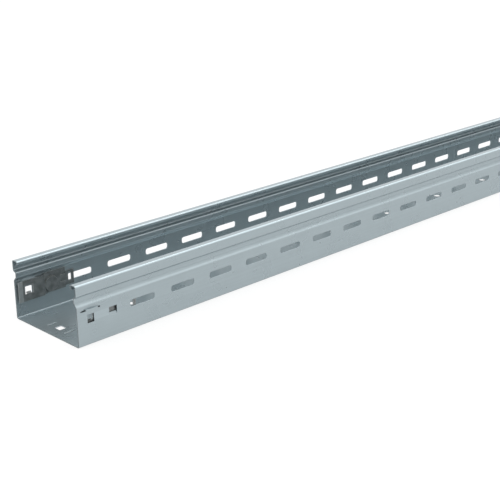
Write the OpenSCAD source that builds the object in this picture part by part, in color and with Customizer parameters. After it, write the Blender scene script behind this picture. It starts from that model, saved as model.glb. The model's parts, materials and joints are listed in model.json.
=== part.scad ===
// Perforated cable tray: one roll-formed channel of galvanised sheet with
// slotted sides, and two spring steel connector plates inside its near end.
// The near end is at -X, the tray runs along X, and its underside is at Z = 0.

/* [Tray] */
// Length of the tray
tray_l = 3050; // [600:10:3050]
// Width over the outer faces of the walls
tray_w = 100; // [90:1:300]
// Height from the underside to the top of the rims
tray_h = 60; // [54:1:110]
// Thickness of the sheet
sheet_t = 0.8; // [0.6:0.1:1.2]
// Inside radius of the bend between base and wall
base_bend_r = 1.2; // [0.5:0.1:3]

/* [Rim and bead] */
// Width of the rolled rim, from the outer face inward
rim_w = 8; // [6:0.1:10]
// Height of the rolled rim's short inner leg
rim_leg = 2.8; // [2.4:0.1:4]
// How far the rim's lip slopes back towards the wall
lip_reach = 2; // [1:0.1:3.5]
// Height over which the lip slopes
lip_fall = 1.6; // [1:0.1:4]
// Inside radius of the rim's bends
rim_bend_r = 0.8; // [0.4:0.1:1.2]
// Depth of the bead that is pressed into each wall
bead_depth = 3.7; // [2:0.1:4]
// Distance from the rim's top down to the bead's upper edge
bead_drop = 10.4; // [9.5:0.1:13]
// Height of the bead's steep upper flank
bead_upper = 1.8; // [1.5:0.1:3]
// Height of the bead's flat floor
bead_floor = 4.8; // [3:0.1:5]
// Height of the bead's gentle lower flank
bead_lower = 3.9; // [3:0.1:5]
// Inside radius of the bead's bends
bead_bend_r = 1.2; // [0.4:0.1:1.4]

/* [Perforation] */
// Length of a side slot, end to end
slot_l = 29.5; // [20:0.5:40]
// Height of a side slot
slot_h = 6.6; // [5:0.1:9]
// Corner radius of a side slot
slot_corner_r = 2.4; // [0.5:0.1:2.4]
// Distance between side slots, centre to centre
slot_pitch = 50; // [45:1:60]
// Distance from the near end to the first side slot's centre
slot_first = 75; // [73:1:95]
// Distance from the bead's lower edge down to the side slots' centre line
slot_drop = 12.8; // [12:0.1:15]
// Diameter of the round holes along the middle of the base
base_hole_d = 8; // [5:0.5:12]
// Distance between the base holes
base_hole_pitch = 100; // [50:10:200]
// Distance from the near end to the first base hole
base_hole_first = 100; // [60:5:150]

/* [Punched near end] */
// Distance from the near end to the latch holes' centre
latch_x = 15; // [14:0.5:17]
// Length of a latch hole along the tray
latch_l = 7.6; // [6:0.1:9]
// Width of a latch hole across the tray
latch_h = 8.4; // [7:0.1:9]
// Length of the slits beside the latch hole in the base
slit_l = 10.5; // [6:0.5:16]
// Width of those slits
slit_w = 1.6; // [1:0.1:2.5]
// Distance between the slits, centre to centre
slit_gap = 27; // [18:1:40]
// Distance from the near end to the lug windows' centre
lug_x = 40.2; // [39:0.1:42]
// Length of a lug window
lug_l = 9; // [7:0.5:10]
// Height of a lug window
lug_h = 8.7; // [7:0.1:9]
// How far a lug reaches in from the wall's inner face
lug_reach = 1.5; // [0.8:0.1:1.7]
// Height over which a lug rises
lug_rise = 3; // [2:0.1:4]
// Length of the hooded dent under each bead
dent_l = 22; // [16:1:24]
// Distance from the bead's lower edge down to the dent's straight edge
dent_h = 4.4; // [3:0.1:6]
// Length of the slit at the dent's end nearer to the near end
near_slit_l = 6; // [2:0.1:7]
// Length of the slit at the dent's other end
inner_slit_l = 2.4; // [1:0.1:6]
// Height of those slits
end_slit_h = 1.2; // [0.5:0.1:1.6]

/* [Connector plates] */
// Thickness of a plate
plate_t = 0.8; // [0.5:0.1:1]
// Distance from the near end to a plate's free edge
plate_start = 2.2; // [1:0.1:4]
// Distance from the near end to a plate's step
plate_step_x = 32; // [31:0.5:33]
// Distance from the near end to the end of a plate's seat
plate_seat_end = 57.5; // [56:0.5:58.5]
// Height of a plate's seat, which ends just under the bead
seat_h = 21.5; // [19.5:0.5:23]
// Height of the free leaf, from the plate's lower edge
leaf_h = 21; // [18:0.5:21.5]
// Gap between the leaf and the wall, for the next tray's wall
leaf_gap = 1.6; // [1.4:0.1:3]
// Length of the leaf's flared lead-in
flare_l = 5; // [4:0.1:6]
// How far the lead-in flares away from the wall
flare_out = 0.6; // [0.4:0.1:3]
// Length of the tail past the seat
tail_l = 10; // [8.5:0.5:11]
// Height of the tail
tail_h = 15; // [12:0.5:18]
// Length of the window in the leaf
leaf_window_l = 9.6; // [7:0.1:10]
// Length of the narrow window in the tail
tail_window_l = 3.4; // [2:0.1:4]
// Clearance round a lug in the pocket that takes it
pocket_margin = 0.4; // [0.2:0.1:0.8]
// Length of the two stiffening ribs on the seat
rib_l = 5.5; // [3:0.5:6]

/* [Hidden] */

eps = 0.01;
over = 5;
bend_step = 18;
wall_y = tray_w / 2;
inner_y = wall_y - sheet_t;
mid_y = wall_y - sheet_t / 2;
near_x = -tray_l / 2;
bead_top = tray_h - bead_drop;
bead_low = bead_top - bead_upper - bead_floor - bead_lower;
slot_count = 1 + floor((tray_l - 2 * slot_first) / slot_pitch + eps);
base_hole_count = 1 + floor((tray_l - 2 * base_hole_first) / base_hole_pitch + eps);
slot_z = bead_low - slot_drop;
punch_drop = 0.7;
punch_z = slot_z - punch_drop;
slit_z = bead_low - dent_h;
dent_clear = 0.3;
dent_depth = min(0.6 * bead_depth, leaf_gap - dent_clear);
dent_tilt = atan(dent_depth / dent_h);
dent_sag = dent_depth * cos(dent_tilt);
dent_r = (dent_l * dent_l / 4 + dent_sag * dent_sag) / (2 * dent_sag);
dent_y = wall_y - dent_depth + dent_r / cos(dent_tilt);
dent_top = bead_low + bead_lower;
seat_clear = 0.9;
leaf_drop = 0.9;
plate_low = bead_low - seat_clear - seat_h;
leaf_y = inner_y - leaf_gap;
leaf_out_y = leaf_y - plate_t;
seat_y = inner_y - plate_t;
pocket_clear = 0.3;
pocket_in_y = inner_y - lug_reach - pocket_clear;
pocket_r = norm([lug_l, lug_h]) / 2 + pocket_margin;
pocket_flank = 0.7;
window_rise = 1;
window_shift = 1;
window_h = latch_h + 0.6;
tail_low = plate_low + 2;
tongue_l = 5;
tongue_rise = 2;
tongue_reach = 1.2;
rib_w = 1.4;
rib_t = 0.6;

// Turning angle from direction u to direction v, positive to the left
function turn(u, v) = atan2(u.x * v.y - u.y * v.x, u * v);
function unit(v) = v / norm(v);
function rotated(v, a) = [v.x * cos(a) - v.y * sin(a), v.x * sin(a) + v.y * cos(a)];

// Points of a bend at corner b, at the signed distance side to the left of
// the middle line, whose own radius in the bend is r
function bend(a, b, c, r, side) =
    let (u = unit(b - a), angle = turn(u, unit(c - b)), hand = sign(angle))
    let (start = b - u * r * tan(abs(angle) / 2))
    let (left = [-u.y, u.x], centre = start + left * hand * r)
    let (steps = ceil(abs(angle) / bend_step))
    [for (k = [0:steps]) centre - rotated(left, angle * k / steps) * hand * (r - hand * side)];

// One face of a folded sheet: corners is a list of [point, middle radius]
function face(corners, side) =
    let (last = len(corners) - 1)
    let (u0 = unit(corners[1][0] - corners[0][0]))
    let (u1 = unit(corners[last][0] - corners[last - 1][0]))
    [
        corners[0][0] + [-u0.y, u0.x] * side,
        for (i = [1:last - 1])
            each bend(corners[i - 1][0], corners[i][0], corners[i + 1][0], corners[i][1], side),
        corners[last][0] + [-u1.y, u1.x] * side
    ];

function reversed(list) = [for (i = [len(list) - 1:-1:0]) list[i]];
function mirrored(corners) = [for (c = reversed(corners)) [[-c[0].x, c[0].y], c[1]]];

// Cross-section of a sheet folded along its middle line
module folded(corners, t) {
    polygon(concat(face(corners, t / 2), reversed(face(corners, -t / 2))));
}

// Middle line of one wall, from the base corner to the tip of the rim's lip
function wall_line(t) = [
    [[mid_y, t / 2], base_bend_r + t / 2],
    [[mid_y, bead_low], bead_bend_r + t / 2],
    [[mid_y - bead_depth, bead_low + bead_lower], bead_bend_r + t / 2],
    [[mid_y - bead_depth, bead_low + bead_lower + bead_floor], bead_bend_r + t / 2],
    [[mid_y, bead_top], bead_bend_r + t / 2],
    [[mid_y, tray_h - t / 2], rim_bend_r + t / 2],
    [[wall_y - rim_w + t / 2, tray_h - t / 2], rim_bend_r + t / 2],
    [[wall_y - rim_w + t / 2, tray_h - rim_leg], rim_bend_r + t / 2],
    [[wall_y - rim_w + t / 2 + lip_reach, tray_h - rim_leg - lip_fall], 0]
];

module along_x(length) {
    rotate([90, 0, 90]) linear_extrude(length) children();
}

// A hole's outline pushed through both walls
module through_walls(x, z) {
    translate([x, wall_y + over, z]) rotate([90, 0, 0]) linear_extrude(tray_w + 2 * over) children();
}

// A hole's outline pushed through the base
module through_base(x, y) {
    translate([x, y, -over]) linear_extrude(2 * over) children();
}

module rounded_slot(length, height, r) {
    square([length, height - 2 * r], center = true);
    square([length - 2 * r, height], center = true);
    for (x = [r - length / 2, length / 2 - r], z = [r - height / 2, height / 2 - r]) {
        translate([x, z]) circle(r = r, $fn = 24);
    }
}

module side_slots() {
    for (i = [0:slot_count - 1]) {
        through_walls(near_x + slot_first + i * slot_pitch, slot_z)
            rounded_slot(slot_l, slot_h, slot_corner_r);
    }
}

module base_holes() {
    for (i = [0:base_hole_count - 1]) {
        through_base(near_x + base_hole_first + i * base_hole_pitch, 0) circle(d = base_hole_d, $fn = 32);
    }
}

// Latch holes in both walls and the base, with the slits beside the last
module latch_holes() {
    through_walls(near_x + latch_x, punch_z) square([latch_l, latch_h], center = true);
    through_base(near_x + latch_x, 0) square([latch_l, latch_h], center = true);
    for (side = [-1, 1]) {
        through_base(near_x + latch_x, side * slit_gap / 2) square([slit_l, slit_w], center = true);
    }
}

// Slits at the two ends of the dent's straight edge
module end_slits() {
    ends = [[latch_x - dent_l / 2, near_slit_l], [latch_x + dent_l / 2 - inner_slit_l, inner_slit_l]];
    for (e = ends) {
        through_walls(near_x + e[0] + e[1] / 2, slit_z - end_slit_h / 2) square([e[1], end_slit_h], center = true);
    }
}

// Leaning drum whose surface is the dent's outer face in the far wall, so that
// the dent is deepest at its straight edge and fades out under the bead
module dent_drum(more) {
    translate([near_x + latch_x, dent_y, slit_z]) rotate([-dent_tilt, 0, 0])
        cylinder(r = dent_r + more, h = 2 * dent_r, center = true, $fn = 120);
}

module dent_zone(low, high, length) {
    translate([near_x + latch_x - length / 2, 0, low]) cube([length, wall_y + over, high - low]);
}

module dent_cut() {
    intersection() {
        dent_drum(0);
        dent_zone(slit_z, dent_top, dent_l + over);
    }
}

// Everything behind the outer face of the far wall and its bead
module behind_face() {
    lower_wall = [for (i = [0:4]) wall_line(sheet_t)[i]];
    translate([near_x, 0, 0]) along_x(2 * latch_x + over)
        polygon(concat(face(lower_wall, -sheet_t / 2), [[0, bead_top], [0, sheet_t / 2]]));
}

// Hood of the dent, and the ledge that closes the middle of its straight edge
module dent_sheet() {
    ledge_l = dent_l - near_slit_l - inner_slit_l;
    ledge_mid = latch_x + (near_slit_l - inner_slit_l) / 2;
    intersection() {
        difference() {
            dent_drum(sheet_t);
            dent_drum(0);
        }
        dent_zone(slit_z, dent_top, dent_l + over);
        behind_face();
    }
    intersection() {
        dent_drum(sheet_t);
        translate([near_x + ledge_mid - ledge_l / 2, 0, slit_z - sheet_t]) cube([ledge_l, wall_y, sheet_t]);
    }
}

// Upright strip of wall that a lug is bent out of, as a sloping tongue
module lug() {
    translate([near_x + lug_x - lug_l / 2, 0, punch_z - lug_h / 2]) along_x(lug_l)
        polygon([
            [wall_y, 0],
            [wall_y, -eps],
            [inner_y, -eps],
            [inner_y, 0],
            [inner_y - lug_reach, lug_rise],
            [inner_y - lug_reach + sheet_t, lug_rise]
        ]);
}

module lug_window() {
    through_walls(near_x + lug_x, punch_z) square([lug_l, lug_h], center = true);
}

module both_sides() {
    children();
    mirror([0, 1, 0]) children();
}

module tray_channel() {
    color("lightsteelblue") {
        difference() {
            translate([near_x, 0, 0]) along_x(tray_l)
                folded(concat(mirrored(wall_line(sheet_t)), wall_line(sheet_t)), sheet_t);
            side_slots();
            base_holes();
            latch_holes();
            lug_window();
            end_slits();
            both_sides() dent_cut();
        }
        both_sides() {
            dent_sheet();
            lug();
        }
    }
}

// Plan of a plate from its flared edge to the end of its tail, as a strip
// that steps from the leaf to the seat
module plate_plan() {
    step_l = leaf_gap;
    polygon([
        [plate_start, leaf_y - flare_out],
        [plate_start + flare_l, leaf_y],
        [plate_step_x, leaf_y],
        [plate_step_x + step_l, inner_y],
        [plate_seat_end + tail_l, inner_y],
        [plate_seat_end + tail_l, seat_y],
        [plate_step_x + step_l + plate_t / 2, seat_y],
        [plate_step_x + plate_t / 2, leaf_out_y],
        [plate_start + flare_l, leaf_out_y],
        [plate_start, leaf_out_y - flare_out]
    ]);
}

// Front view of a plate: the low leaf, the taller seat and the narrow tail
module plate_front() {
    translate([plate_start - 1, plate_low - leaf_drop]) square([plate_step_x - plate_start + 1, leaf_h]);
    translate([plate_step_x, plate_low]) square([plate_seat_end - plate_step_x, seat_h]);
    translate([plate_seat_end - 1, tail_low]) square([tail_l + 2, tail_h]);
}

// Window in the leaf, over the wall's latch hole
module leaf_window() {
    translate([latch_x - window_shift, slot_z + window_rise])
        square([leaf_window_l, window_h], center = true);
}

module tail_window() {
    translate([plate_seat_end + tail_l / 2, slot_z + window_rise])
        square([tail_window_l, window_h], center = true);
}

// Tongue at the leaf window's lower edge, bent towards the wall
module leaf_tongue() {
    low = slot_z + window_rise - window_h / 2;
    translate([latch_x - window_shift - tongue_l / 2, 0, low]) along_x(tongue_l)
        polygon([
            [leaf_out_y, -eps],
            [leaf_y, -eps],
            [leaf_y, 0],
            [leaf_y + tongue_reach, tongue_rise],
            [leaf_y + tongue_reach - plate_t, tongue_rise],
            [leaf_out_y, 0.5]
        ]);
}

module ribs() {
    for (z = [slot_z - 3, slot_z + 4]) {
        translate([plate_seat_end - rib_l - 1, seat_y - rib_t, z - rib_w / 2]) cube([rib_l, rib_t + eps, rib_w]);
    }
}

// Cone-sided pocket round the lug, wider towards the wall
module pocket(r, from_y, to_y) {
    translate([lug_x, to_y, punch_z]) rotate([90, 0, 0])
        cylinder(r1 = r + pocket_flank, r2 = r, h = to_y - from_y, $fn = 48);
}

// Plate that lies inside the far wall, with x from the near end
module plate() {
    difference() {
        union() {
            intersection() {
                linear_extrude(tray_h) plate_plan();
                translate([0, wall_y, 0]) rotate([90, 0, 0]) linear_extrude(wall_y) difference() {
                    plate_front();
                    leaf_window();
                    tail_window();
                }
            }
            pocket(pocket_r + plate_t, pocket_in_y - plate_t, inner_y);
            ribs();
        }
        pocket(pocket_r, pocket_in_y, inner_y + eps);
    }
    leaf_tongue();
}

module connector_plate_left() {
    color("dimgray") translate([near_x, 0, 0]) plate();
}

module connector_plate_right() {
    color("dimgray") mirror([0, 1, 0]) translate([near_x, 0, 0]) plate();
}

tray_channel();
connector_plate_left();
connector_plate_right();
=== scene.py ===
import json
import math

import bpy
from bpy.props import FloatProperty, FloatVectorProperty, PointerProperty
from bpy.types import Operator, Panel, PropertyGroup
from mathutils import Matrix, Vector


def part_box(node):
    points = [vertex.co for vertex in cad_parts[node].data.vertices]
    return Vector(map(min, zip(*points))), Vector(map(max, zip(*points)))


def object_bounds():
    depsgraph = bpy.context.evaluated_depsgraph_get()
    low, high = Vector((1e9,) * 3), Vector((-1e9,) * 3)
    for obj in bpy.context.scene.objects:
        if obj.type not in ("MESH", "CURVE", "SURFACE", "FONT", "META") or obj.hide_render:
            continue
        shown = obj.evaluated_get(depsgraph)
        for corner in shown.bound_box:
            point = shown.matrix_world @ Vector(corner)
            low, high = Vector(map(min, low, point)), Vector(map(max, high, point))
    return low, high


bl_info = {
    "name": "Perforated Cable Tray",
    "version": (1, 0, 0),
    "blender": (4, 5, 0),
    "location": "3D View > Sidebar > Cable Tray",
    "description": "Finishes a galvanised cable tray and its connector plates, and lights them",
    "category": "Object",
}

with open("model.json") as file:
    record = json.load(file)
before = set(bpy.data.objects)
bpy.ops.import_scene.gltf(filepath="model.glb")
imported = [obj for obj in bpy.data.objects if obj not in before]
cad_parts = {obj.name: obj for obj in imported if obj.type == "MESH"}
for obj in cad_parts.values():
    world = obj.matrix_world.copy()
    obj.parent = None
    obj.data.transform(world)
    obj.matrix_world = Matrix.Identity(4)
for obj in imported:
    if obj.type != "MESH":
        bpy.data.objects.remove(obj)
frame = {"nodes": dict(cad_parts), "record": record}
CAD_LOW, CAD_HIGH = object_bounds()

MM = 0.001
CHANNEL = "tray_channel"
PLATES = ("connector_plate_left", "connector_plate_right")


def mount(name):
    """The record's mount of that name."""
    return next(m for m in frame["record"]["mounts"] if m["name"] == name)


# Places and sizes on the part, in metres

SLOT_PITCH = 50 * MM
SLOT_HALF_LENGTH = 14.75 * MM
SLOT_HALF_HEIGHT = 3.3 * MM
SLOT_CORNER = 2.4 * MM
SLOT_X, _, SLOT_Z = mount("left_near_slot")["pos_m"]
HOLES = mount("base_holes_near")
HOLE_PITCH = HOLES["dims"]["spacing_x_mm"] * MM
HOLE_RADIUS = HOLES["dims"]["hole_r_mm"] * MM
# The mount lies midway between two holes
HOLE_X = HOLES["pos_m"][0] + HOLE_PITCH / 2
BASE_TOP = 1.2 * MM
RIM_WIDTH = 8 * MM
RIM_BEND = 1.6 * MM
RIM_MIDDLE = CAD_HIGH.y - RIM_WIDTH / 2
RIM_HALF_FLAT = RIM_WIDTH / 2 - RIM_BEND
RIM_BEND_BOTTOM = CAD_HIGH.z - RIM_BEND
RIM_FADE = 0.4 * MM
BEAD_BEND_Z = 39.9 * MM
BEAD_BEND_REACH = 1.3 * MM
NEAR_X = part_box(CHANNEL)[0].x
PLATE_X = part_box(PLATES[0])[0].x
FLARE_LENGTH = 5 * MM

# Noise values at the low and the high end of a finish's roughness

GRAIN_RANGE = (0.3, 0.7)

# Zinc: factors on its colour, noise values of its tones, changes of its roughness, and where the painted
# bend highlight and the dark cut edge fade

ZINC_METALLIC = 0.68
ZINC_DARK = 0.965
ZINC_LIGHT = 1.03
# Punched edges: worn zinc and a painted highlight
ZINC_WORN_AND_LIT = 1.25
# Painted highlight on the rims' bends and the beads' lower bends
ZINC_BEND_HIGHLIGHT = 1.6
ZINC_TONES = (0.36, 0.64)
ZINC_ROUGHER = 0.03
ZINC_SMOOTHER = 0.02
ZINC_BUMP = 0.4
ZINC_LINE_HEIGHT = 0.0015
BEAD_BEND_CORE = 0.3
CUT_FADE = (0.05 * MM, 0.2 * MM)

# Spring steel: the same, and how alike rounded and flat normals are on an edge with wear and painted
# highlight, and past it

SPRING_METALLIC = 0.7
SPRING_DARK = 0.78
SPRING_LIGHT = 1.18
# Painted reflection on the flares, and wear with a painted highlight on the plates' edges
SPRING_SHEEN_AND_WEAR = 2.6
SPRING_TONES = (0.35, 0.65)
SPRING_ROUGHER = 0.08
SPRING_SMOOTHER = 0.05
SPRING_BUMP = 0.15
SPRING_LINE_DEPTH = 0.1 * MM
FLARE_FADE = 0.2 * MM
EDGE_TURN = (0.8, 0.97)

BLACK = (0.0, 0.0, 0.0, 1.0)
WHITE = (1.0, 1.0, 1.0, 1.0)

# The colour sockets of a Mix node: its two inputs and its result

MIX_A, MIX_B, MIX_RESULT = 6, 7, 2


# Shader helpers


class Graph:
    """Adds linked nodes to a material's or a group's node tree."""

    def __init__(self, tree):
        self.tree = tree

    def add(self, kind, inputs=None, **settings):
        """A node of that kind. Inputs are sockets to link, or plain values."""
        node = self.tree.nodes.new(kind)
        for key, value in settings.items():
            setattr(node, key, value)
        for key, value in (inputs or {}).items():
            self.put(node.inputs[key], value)
        return node

    def put(self, socket, value):
        """Links a socket to an output, or sets its own value."""
        if isinstance(value, bpy.types.NodeSocket):
            self.tree.links.new(value, socket)
        else:
            socket.default_value = value

    def math(self, operation, a, b=0.0):
        """The result of one Math node."""
        return self.add("ShaderNodeMath", {0: a, 1: b}, operation=operation).outputs[0]

    def noise(self, place, scale, detail):
        """A noise value at a place."""
        inputs = {"Vector": place, "Scale": scale, "Detail": detail}
        return self.add("ShaderNodeTexNoise", inputs).outputs["Fac"]

    def spread(self, value, low, high, to_low=0.0, to_high=1.0):
        """A value's range, stretched onto another range and held inside it."""
        inputs = {"Value": value, "From Min": low, "From Max": high, "To Min": to_low, "To Max": to_high}
        return self.add("ShaderNodeMapRange", inputs, clamp=True).outputs["Result"]

    def tint(self, fac, a, b):
        """A colour between two colours."""
        inputs = {"Factor": fac, MIX_A: a, MIX_B: b}
        return self.add("ShaderNodeMix", inputs, data_type="RGBA").outputs[MIX_RESULT]


def new_group(name, inputs, outputs):
    """An empty shader node group, its Graph, its given values and its result sockets.

    Inputs pair a label with a default number, or with None for a vector. Outputs are labels of numbers.
    """
    tree = bpy.data.node_groups.new(name, "ShaderNodeTree")
    for label, value in inputs.items():
        kind = "NodeSocketVector" if value is None else "NodeSocketFloat"
        socket = tree.interface.new_socket(label, in_out="INPUT", socket_type=kind)
        if value is not None:
            socket.default_value = value
    for label in outputs:
        tree.interface.new_socket(label, in_out="OUTPUT", socket_type="NodeSocketFloat")
    start = tree.nodes.new("NodeGroupInput")
    end = tree.nodes.new("NodeGroupOutput")
    return tree, Graph(tree), start.outputs, end.inputs


def rolled_grain_group():
    """Lengthwise rolling lines and soft clouds, as sheet from a mill has."""
    inputs = {"Place": None, "Line Width": 1 * MM, "Line Length": 100 * MM, "Cloud Size": 25 * MM}
    tree, graph, given, out = new_group("Rolled grain", inputs, ("Lines", "Clouds"))
    along = graph.math("DIVIDE", 1.0, given["Line Length"])
    across = graph.math("DIVIDE", 1.0, given["Line Width"])
    stretch = graph.add("ShaderNodeCombineXYZ", {"X": along, "Y": across, "Z": across}).outputs[0]
    drawn_out = graph.add("ShaderNodeVectorMath", {0: given["Place"], 1: stretch}, operation="MULTIPLY")
    graph.put(out["Lines"], graph.noise(drawn_out.outputs["Vector"], scale=1.0, detail=1.0))
    cloud_scale = graph.math("DIVIDE", 1.0, given["Cloud Size"])
    graph.put(out["Clouds"], graph.noise(given["Place"], scale=cloud_scale, detail=2.0))
    return tree


def punched_edge_group():
    """How near a point is to the edge of a row of holes: 1 at the edge, 0 away from it."""
    inputs = {
        "Along": 0.0,
        "Across": 0.0,
        "First": 0.0,
        "Pitch": SLOT_PITCH,
        "Half Length": SLOT_HALF_LENGTH,
        "Half Height": SLOT_HALF_HEIGHT,
        "Corner": SLOT_CORNER,
        "Width": 1 * MM,
    }
    tree, graph, given, out = new_group("Punched edge", inputs, ("Edge",))
    from_first = graph.math("SUBTRACT", given["Along"], given["First"])
    turns = graph.math("ROUND", graph.math("DIVIDE", from_first, given["Pitch"]))
    local = graph.math("SUBTRACT", from_first, graph.math("MULTIPLY", turns, given["Pitch"]))
    squares = []
    for place, half in ((local, given["Half Length"]), (given["Across"], given["Half Height"])):
        flat = graph.math("SUBTRACT", half, given["Corner"])
        past = graph.math("MAXIMUM", graph.math("SUBTRACT", graph.math("ABSOLUTE", place), flat), 0.0)
        squares.append(graph.math("POWER", past, 2.0))
    reach = graph.math("SQRT", graph.math("ADD", *squares))
    fade = graph.math("DIVIDE", graph.math("SUBTRACT", reach, given["Corner"]), given["Width"])
    graph.put(out["Edge"], graph.spread(fade, 0.0, 1.0, 1.0, 0.0))
    return tree


def bend_highlight_group():
    """Where a point lies on a rim's two bends, and on a bead's lower bend: 1 on them, 0 elsewhere."""
    inputs = {
        "Across": 0.0,
        "Height": 0.0,
        "Rim Middle": RIM_MIDDLE,
        "Rim Half Flat": RIM_HALF_FLAT,
        "Rim Bend Bottom": RIM_BEND_BOTTOM,
        "Rim Fade": RIM_FADE,
        "Bead Height": BEAD_BEND_Z,
        "Bead Reach": BEAD_BEND_REACH,
    }
    tree, graph, given, out = new_group("Painted bend highlight", inputs, ("Rim", "Bead"))
    from_middle = graph.math("SUBTRACT", graph.math("ABSOLUTE", given["Across"]), given["Rim Middle"])
    past_flat = graph.math("SUBTRACT", graph.math("ABSOLUTE", from_middle), given["Rim Half Flat"])
    above = graph.math("SUBTRACT", given["Height"], given["Rim Bend Bottom"])
    inside = graph.math("MINIMUM", past_flat, above)
    graph.put(out["Rim"], graph.spread(graph.math("DIVIDE", inside, given["Rim Fade"]), 0.0, 1.0))
    from_bead = graph.math("ABSOLUTE", graph.math("SUBTRACT", given["Height"], given["Bead Height"]))
    share = graph.math("DIVIDE", from_bead, given["Bead Reach"])
    graph.put(out["Bead"], graph.spread(share, BEAD_BEND_CORE, 1.0, 1.0, 0.0))
    return tree


def place_group(graph, name, build, **inputs):
    """Puts the node group of that name in a material, with its own values. Builds it once."""
    node = graph.tree.nodes.new("ShaderNodeGroup")
    node.node_tree = bpy.data.node_groups.get(name) or build()
    for key, value in inputs.items():
        graph.put(node.inputs[key.replace("_", " ")], value)
    return node.outputs


def rolled_grain(graph, place, finish):
    """The rolling lines and clouds of a finish."""
    return place_group(
        graph,
        "Rolled grain",
        rolled_grain_group,
        Place=place,
        Line_Width=finish.line_width,
        Line_Length=finish.line_length,
        Cloud_Size=finish.cloud_size,
    )


def new_material(name):
    """An empty node material, its Graph and its Principled shader."""
    material = bpy.data.materials.new(name)
    material.use_nodes = True
    graph = Graph(material.node_tree)
    shader = material.node_tree.nodes["Principled BSDF"]
    return material, graph, shader


def place_on_part(graph):
    """The shaded point's place on the part, and the same as X, Y and Z."""
    place = graph.add("ShaderNodeTexCoord").outputs["Object"]
    return place, graph.add("ShaderNodeSeparateXYZ", {0: place}).outputs


def scaled(colour, factor):
    """A colour made lighter or darker, with alpha."""
    return (*(min(1.0, c * factor) for c in colour), 1.0)


# Finishes


def punched_edges(graph, axes, finish):
    """1 at the edges of the side slots and the base holes, and 0 past the edge's width."""
    slots = place_group(
        graph,
        "Punched edge",
        punched_edge_group,
        Along=axes["X"],
        Across=graph.math("SUBTRACT", axes["Z"], SLOT_Z),
        First=SLOT_X,
        Pitch=SLOT_PITCH,
        Half_Length=SLOT_HALF_LENGTH,
        Half_Height=SLOT_HALF_HEIGHT,
        Corner=SLOT_CORNER,
        Width=finish.edge_width,
    )
    holes = place_group(
        graph,
        "Punched edge",
        punched_edge_group,
        Along=axes["X"],
        Across=axes["Y"],
        First=HOLE_X,
        Pitch=HOLE_PITCH,
        Half_Length=HOLE_RADIUS,
        Half_Height=HOLE_RADIUS,
        Corner=HOLE_RADIUS,
        Width=finish.edge_width,
    )
    on_base = graph.math("LESS_THAN", axes["Z"], BASE_TOP)
    in_base = graph.math("MULTIPLY", holes["Edge"], on_base)
    in_walls = graph.math("MULTIPLY", slots["Edge"], graph.math("SUBTRACT", 1.0, on_base))
    return graph.math("MAXIMUM", in_base, in_walls)


def painted_bend_highlights(graph, axes, finish):
    """Painted highlight on the rims' bends and the beads' lower bends, with its strength on each."""
    bends = place_group(graph, "Painted bend highlight", bend_highlight_group, Across=axes["Y"], Height=axes["Z"])
    on_rims = graph.math("MULTIPLY", bends["Rim"], finish.rim_highlight)
    on_beads = graph.math("MULTIPLY", bends["Bead"], finish.bead_highlight)
    return graph.math("MAXIMUM", on_rims, on_beads)


def zinc_colour(graph, axes, finish, grain, edge):
    """Zinc, varied by its grain, worn and lit with a painted highlight at punched edges, lit with a
    painted highlight on the bends, and dark where it was sheared.
    """
    tone = graph.math("MULTIPLY", graph.math("ADD", grain["Lines"], grain["Clouds"]), 0.5)
    mix = graph.spread(tone, *ZINC_TONES)
    colour = graph.tint(mix, scaled(finish.colour, ZINC_DARK), scaled(finish.colour, ZINC_LIGHT))
    # Punched edges: worn zinc and a painted highlight
    worn_and_lit = graph.math("MULTIPLY", edge, finish.edge_wear_and_sheen)
    colour = graph.tint(worn_and_lit, colour, scaled(finish.colour, ZINC_WORN_AND_LIT))
    # Painted highlight on the rims' bends and the beads' lower bends
    colour = graph.tint(painted_bend_highlights(graph, axes, finish), colour, scaled(finish.colour, ZINC_BEND_HIGHLIGHT))
    from_cut = graph.math("SUBTRACT", axes["X"], NEAR_X)
    return graph.tint(graph.spread(from_cut, *CUT_FADE, finish.cut_shade, 1.0), BLACK, colour)


def sheet_material(finish):
    """Galvanised sheet: satin zinc with rolling lines, soft clouds, worn edges with a painted highlight,
    and painted highlights on the bends.
    """
    material, graph, shader = new_material("Galvanised sheet")
    place, axes = place_on_part(graph)
    grain = rolled_grain(graph, place, finish)
    edge = punched_edges(graph, axes, finish)
    graph.put(shader.inputs["Base Color"], zinc_colour(graph, axes, finish, grain, edge))
    shader.inputs["Metallic"].default_value = ZINC_METALLIC
    smoothest = finish.roughness - ZINC_SMOOTHER
    roughest = finish.roughness + ZINC_ROUGHER
    graph.put(shader.inputs["Roughness"], graph.spread(grain["Clouds"], *GRAIN_RANGE, smoothest, roughest))
    height = graph.math("SUBTRACT", graph.math("MULTIPLY", grain["Lines"], ZINC_LINE_HEIGHT), edge)
    bend = graph.add("ShaderNodeBevel", {"Radius": finish.bend_blend}, samples=16).outputs["Normal"]
    inputs = {"Height": height, "Strength": ZINC_BUMP, "Distance": finish.edge_depth, "Normal": bend}
    graph.put(shader.inputs["Normal"], graph.add("ShaderNodeBump", inputs).outputs["Normal"])
    return material


def plate_edge_wear_and_sheen(graph, finish):
    """How far the edges are made light, where the surface turns within the edge's width: wear of the scale
    and a painted highlight.
    """
    rounded = graph.add("ShaderNodeBevel", {"Radius": finish.edge_width}, samples=8).outputs["Normal"]
    flat = graph.add("ShaderNodeNewGeometry").outputs["Normal"]
    alike = graph.add("ShaderNodeVectorMath", {0: rounded, 1: flat}, operation="DOT_PRODUCT")
    return graph.spread(alike.outputs["Value"], *EDGE_TURN, finish.edge_wear_and_sheen, 0.0)


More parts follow.
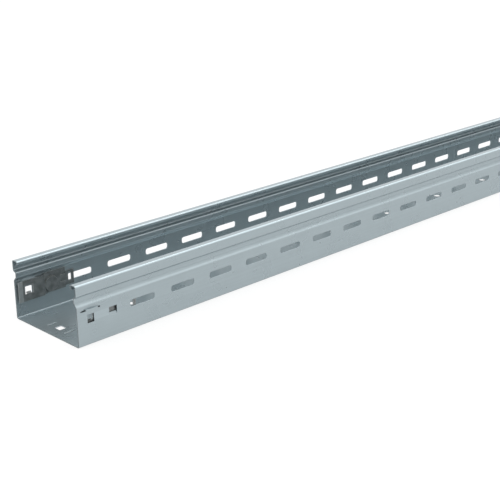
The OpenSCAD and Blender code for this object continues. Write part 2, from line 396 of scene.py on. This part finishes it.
def spring_material(finish):
    """Spring steel: dark matt scale, a little mottled, with a painted reflection on the flares, and wear
    with a painted highlight on the edges.
    """
    material, graph, shader = new_material("Spring steel")
    place, axes = place_on_part(graph)
    grain = rolled_grain(graph, place, finish)
    mottle = graph.spread(grain["Clouds"], *SPRING_TONES)
    colour = graph.tint(mottle, scaled(finish.colour, SPRING_DARK), scaled(finish.colour, SPRING_LIGHT))
    sheen_and_wear = scaled(finish.colour, SPRING_SHEEN_AND_WEAR)
    # Painted reflection on the flares
    past_flare = graph.math("SUBTRACT", axes["X"], PLATE_X + FLARE_LENGTH)
    flare_reflection_share = graph.spread(past_flare, -FLARE_FADE, FLARE_FADE, finish.flare_reflection, 0.0)
    colour = graph.tint(flare_reflection_share, colour, sheen_and_wear)
    # Plates' edges: wear and a painted highlight
    colour = graph.tint(plate_edge_wear_and_sheen(graph, finish), colour, sheen_and_wear)
    graph.put(shader.inputs["Base Color"], colour)
    shader.inputs["Metallic"].default_value = SPRING_METALLIC
    smoothest = finish.roughness - SPRING_SMOOTHER
    roughest = finish.roughness + SPRING_ROUGHER
    graph.put(shader.inputs["Roughness"], graph.spread(grain["Lines"], *GRAIN_RANGE, smoothest, roughest))
    inputs = {"Height": grain["Lines"], "Strength": SPRING_BUMP, "Distance": SPRING_LINE_DEPTH}
    graph.put(shader.inputs["Normal"], graph.add("ShaderNodeBump", inputs).outputs["Normal"])
    return material


def floor_material(studio):
    """Pale floor that looks white past the object and still takes its shadow."""
    material, graph, shader = new_material("Studio floor")
    path = graph.add("ShaderNodeLightPath").outputs
    seen = graph.math("MAXIMUM", path["Is Camera Ray"], path["Is Glossy Ray"])
    seen = graph.math("MAXIMUM", seen, path["Is Transmission Ray"])
    pale = (studio.floor_shade, studio.floor_shade, studio.floor_shade, 1.0)
    shader.inputs["Base Color"].default_value = pale
    shader.inputs["Roughness"].default_value = 1.0
    shader.inputs["Specular IOR Level"].default_value = 0.0
    shader.inputs["Emission Color"].default_value = WHITE
    graph.put(shader.inputs["Emission Strength"], graph.math("MULTIPLY", seen, studio.floor_glow))
    return material


def finish_node(name, material):
    node = frame["nodes"][name]
    node.data.materials.clear()
    node.data.materials.append(material)


# Settings


class SheetFinish(PropertyGroup):
    """Finish of the galvanised channel."""

    colour: FloatVectorProperty(
        name="Zinc colour",
        description="Colour of the galvanised sheet",
        subtype="COLOR",
        default=(0.393, 0.46, 0.486),
        min=0.0,
        max=1.0,
    )
    roughness: FloatProperty(
        name="Roughness",
        description="Mean roughness of the zinc",
        default=0.28,
        min=0.0,
        max=1.0,
    )
    line_width: FloatProperty(
        name="Line width",
        description="Width of the rolling lines",
        default=1.2 * MM,
        unit="LENGTH",
    )
    line_length: FloatProperty(
        name="Line length",
        description="Length of the rolling lines",
        default=150 * MM,
        unit="LENGTH",
    )
    cloud_size: FloatProperty(
        name="Cloud size",
        description="Size of the soft clouds in the zinc",
        default=25 * MM,
        unit="LENGTH",
    )
    edge_width: FloatProperty(
        name="Edge width",
        description="Width of the drawn-in edge round a punched slot",
        default=0.6 * MM,
        unit="LENGTH",
    )
    edge_depth: FloatProperty(
        name="Edge depth",
        description="Depth to which the punch draws the edge in",
        default=0.15 * MM,
        unit="LENGTH",
    )
    # Punched edges get worn zinc and a painted highlight
    edge_wear_and_sheen: FloatProperty(
        name="Edge wear and sheen",
        description="How bright the punched edges are worn",
        default=0.35,
        min=0.0,
        max=1.0,
    )
    bend_blend: FloatProperty(
        name="Bend blend",
        description="How far the light on the sheet's bends blends into the flats beside them",
        default=0.7 * MM,
        unit="LENGTH",
    )
    # The brightness set here is a highlight painted on the rims' bends
    rim_highlight: FloatProperty(
        name="Rim bend highlight",
        description="How bright the rims' bends are rubbed by the rolls",
        default=0.8,
        min=0.0,
        max=1.0,
    )
    # The brightness set here is a highlight painted on the beads' lower bends
    bead_highlight: FloatProperty(
        name="Bead bend highlight",
        description="How bright the beads' lower bends are rubbed by the rolls",
        default=0.35,
        min=0.0,
        max=1.0,
    )
    cut_shade: FloatProperty(
        name="Cut edge shade",
        description="How much of its brightness the sheared edge at the near end keeps",
        default=0.45,
        min=0.0,
        max=1.0,
    )


class SpringFinish(PropertyGroup):
    """Finish of the connector plates."""

    colour: FloatVectorProperty(
        name="Steel colour",
        description="Colour of the plates' dark scale",
        subtype="COLOR",
        default=(0.222, 0.236, 0.236),
        min=0.0,
        max=1.0,
    )
    roughness: FloatProperty(
        name="Roughness",
        description="Mean roughness of the scale",
        default=0.42,
        min=0.0,
        max=1.0,
    )
    line_width: FloatProperty(
        name="Line width",
        description="Width of the fine rolling lines",
        default=0.4 * MM,
        unit="LENGTH",
    )
    line_length: FloatProperty(
        name="Line length",
        description="Length of the fine rolling lines",
        default=12 * MM,
        unit="LENGTH",
    )
    cloud_size: FloatProperty(
        name="Mottle size",
        description="Size of the mottling",
        default=6 * MM,
        unit="LENGTH",
    )
    edge_width: FloatProperty(
        name="Edge width",
        description="Width of the plates' worn edges",
        default=0.7 * MM,
        unit="LENGTH",
    )
    # The plates' edges get wear and a painted highlight
    edge_wear_and_sheen: FloatProperty(
        name="Edge wear and sheen",
        description="How far the scale is rubbed off the plates' edges",
        default=0.8,
        min=0.0,
        max=1.0,
    )
    # The flares' lightness set here is a painted reflection
    flare_reflection: FloatProperty(
        name="Flare reflection",
        description="How far the scale is rubbed off the flares, where the next tray slides in",
        default=0.5,
        min=0.0,
        max=1.0,
    )


class StudioSettings(PropertyGroup):
    """Camera, floor, surroundings and lamp."""

    view_azimuth: FloatProperty(
        name="View azimuth",
        description="Side from which the camera looks",
        default=math.radians(-44.142),
        subtype="ANGLE",
    )
    view_elevation: FloatProperty(
        name="View elevation",
        description="Height of the view above the horizon",
        default=math.radians(19.734),
        subtype="ANGLE",
    )
    view_roll: FloatProperty(
        name="View roll",
        description="Tilt of the camera about its own axis",
        default=math.radians(-0.753),
        subtype="ANGLE",
    )
    camera_offset: FloatVectorProperty(
        name="Camera offset",
        description="Camera position from the middle of the near end, on the floor",
        default=(-0.5275, -0.81605, 0.42153),
        subtype="TRANSLATION",
        unit="LENGTH",
    )
    lens: FloatProperty(
        name="Focal length",
        description="Camera's focal length in millimetres",
        default=80.393,
    )
    floor_size: FloatProperty(
        name="Floor size",
        description="Length of each side of the floor",
        default=60.0,
        unit="LENGTH",
    )
    floor_shade: FloatProperty(
        name="Floor shade",
        description="Brightness of the floor's own surface",
        default=0.3,
    )
    floor_glow: FloatProperty(
        name="Floor glow",
        description="How much white the floor shows to the camera besides its surface",
        default=0.72,
    )
    sky_level: FloatProperty(
        name="Surroundings level",
        description="Brightness of the white surroundings, where 1 is white",
        default=1.0,
    )
    lamp_offset: FloatVectorProperty(
        name="Lamp offset",
        description="Middle of the soft lamp above the tray, from the near end",
        default=(3.6, -0.49, 3.97),
        subtype="TRANSLATION",
        unit="LENGTH",
    )
    lamp_length: FloatProperty(
        name="Lamp length",
        description="Length of the soft lamp, along the tray",
        default=6.0,
        unit="LENGTH",
    )
    lamp_width: FloatProperty(
        name="Lamp width",
        description="Width of the soft lamp, across the tray",
        default=2.2,
        unit="LENGTH",
    )
    lamp_level: FloatProperty(
        name="Lamp level",
        description="Brightness that this lamp adds to the white surroundings",
        default=1.6,
    )


# Pieces and stage


class TRAY_OT_finish_channel(Operator):
    """Finish the roll-formed channel in galvanised sheet"""

    bl_idname = "cable_tray.finish_channel"
    bl_label = "Finish Channel"

    def execute(self, context):
        material = sheet_material(context.scene.tray_sheet)
        finish_node(CHANNEL, material)
        return {"FINISHED"}


class TRAY_OT_finish_plates(Operator):
    """Finish both connector plates in dark spring steel"""

    bl_idname = "cable_tray.finish_plates"
    bl_label = "Finish Connector Plates"

    def execute(self, context):
        material = spring_material(context.scene.tray_spring)
        for name in PLATES:
            finish_node(name, material)
        return {"FINISHED"}


def make_floor(studio):
    """A large level floor at the object's underside."""
    half = studio.floor_size / 2
    corners = [(-half, -half, 0), (half, -half, 0), (half, half, 0), (-half, half, 0)]
    mesh = bpy.data.meshes.new("Floor")
    mesh.from_pydata(corners, [], [(0, 1, 2, 3)])
    mesh.materials.append(floor_material(studio))
    floor = bpy.data.objects.new("Floor", mesh)
    floor.location.z = CAD_LOW.z
    bpy.context.scene.collection.objects.link(floor)


def make_world(studio):
    """White surroundings, which light the tray evenly and show in its metal."""
    world = bpy.data.worlds.new("Studio surroundings")
    world.use_nodes = True
    background = world.node_tree.nodes["Background"]
    background.inputs["Color"].default_value = WHITE
    background.inputs["Strength"].default_value = studio.sky_level
    bpy.context.scene.world = world


def make_lamp(studio):
    """One long soft lamp above the tray, which draws the light lines on its bends."""
    light = bpy.data.lights.new("Overhead softbox", "AREA")
    light.shape = "RECTANGLE"
    light.size = studio.lamp_length
    light.size_y = studio.lamp_width
    # Power goes with the lamp's area, so its brightness depends on its level alone
    light.energy = studio.lamp_level * math.pi * studio.lamp_length * studio.lamp_width
    lamp = bpy.data.objects.new("Overhead softbox", light)
    offset = Vector(studio.lamp_offset)
    lamp.location = Vector((NEAR_X, 0.0, CAD_LOW.z)) + offset
    lamp.rotation_euler.x = math.atan2(offset.z, offset.y) - math.pi / 2
    lamp.visible_camera = False
    bpy.context.scene.collection.objects.link(lamp)


def make_camera(studio):
    """The camera, at the photograph's place and angle."""
    azimuth, elevation, roll = studio.view_azimuth, studio.view_elevation, studio.view_roll
    level_part = math.cos(elevation)
    back = Vector((math.sin(azimuth) * level_part, -math.cos(azimuth) * level_part, math.sin(elevation)))
    level_right = Vector((0, 0, 1)).cross(back).normalized()
    level_up = back.cross(level_right)
    right = level_right * math.cos(roll) + level_up * math.sin(roll)
    up = level_up * math.cos(roll) - level_right * math.sin(roll)
    data = bpy.data.cameras.new("Camera")
    data.lens = studio.lens
    data.clip_start = 0.01
    camera = bpy.data.objects.new("Camera", data)
    turn = Matrix((right, up, back)).transposed().to_4x4()
    near_end = Vector((NEAR_X, 0.0, CAD_LOW.z))
    camera.matrix_world = Matrix.Translation(near_end + Vector(studio.camera_offset)) @ turn
    bpy.context.scene.collection.objects.link(camera)
    bpy.context.scene.camera = camera


class TRAY_OT_build_stage(Operator):
    """Lay the pale floor and set the soft light and the camera"""

    bl_idname = "cable_tray.build_stage"
    bl_label = "Build Stage"

    def execute(self, context):
        studio = context.scene.tray_studio
        make_floor(studio)
        make_world(studio)
        make_lamp(studio)
        make_camera(studio)
        context.scene.view_settings.view_transform = "Standard"
        return {"FINISHED"}


class TRAY_PT_sidebar(Panel):
    """Settings and build steps of the cable tray"""

    bl_idname = "TRAY_PT_sidebar"
    bl_label = "Cable Tray"
    bl_space_type = "VIEW_3D"
    bl_region_type = "UI"
    bl_category = "Cable Tray"

    def draw(self, context):
        for settings in ("tray_sheet", "tray_spring", "tray_studio"):
            group = getattr(context.scene, settings)
            box = self.layout.box()
            for key in group.__annotations__:
                box.prop(group, key)
        for step in STEPS:
            self.layout.operator(step.bl_idname)


STEPS = (TRAY_OT_finish_channel, TRAY_OT_finish_plates, TRAY_OT_build_stage)
CLASSES = (SheetFinish, SpringFinish, StudioSettings, *STEPS, TRAY_PT_sidebar)


def register():
    """Adds the classes and their settings to Blender."""
    for cls in CLASSES:
        bpy.utils.register_class(cls)
    bpy.types.Scene.tray_sheet = PointerProperty(type=SheetFinish)
    bpy.types.Scene.tray_spring = PointerProperty(type=SpringFinish)
    bpy.types.Scene.tray_studio = PointerProperty(type=StudioSettings)


def unregister():
    """Takes the settings and the classes out again."""
    del bpy.types.Scene.tray_studio
    del bpy.types.Scene.tray_spring
    del bpy.types.Scene.tray_sheet
    for cls in reversed(CLASSES):
        bpy.utils.unregister_class(cls)


def main():
    """Builds the whole scene, one operator after another."""
    register()
    bpy.ops.cable_tray.finish_channel()
    bpy.ops.cable_tray.finish_plates()
    bpy.ops.cable_tray.build_stage()


if __name__ == "__main__":
    main()
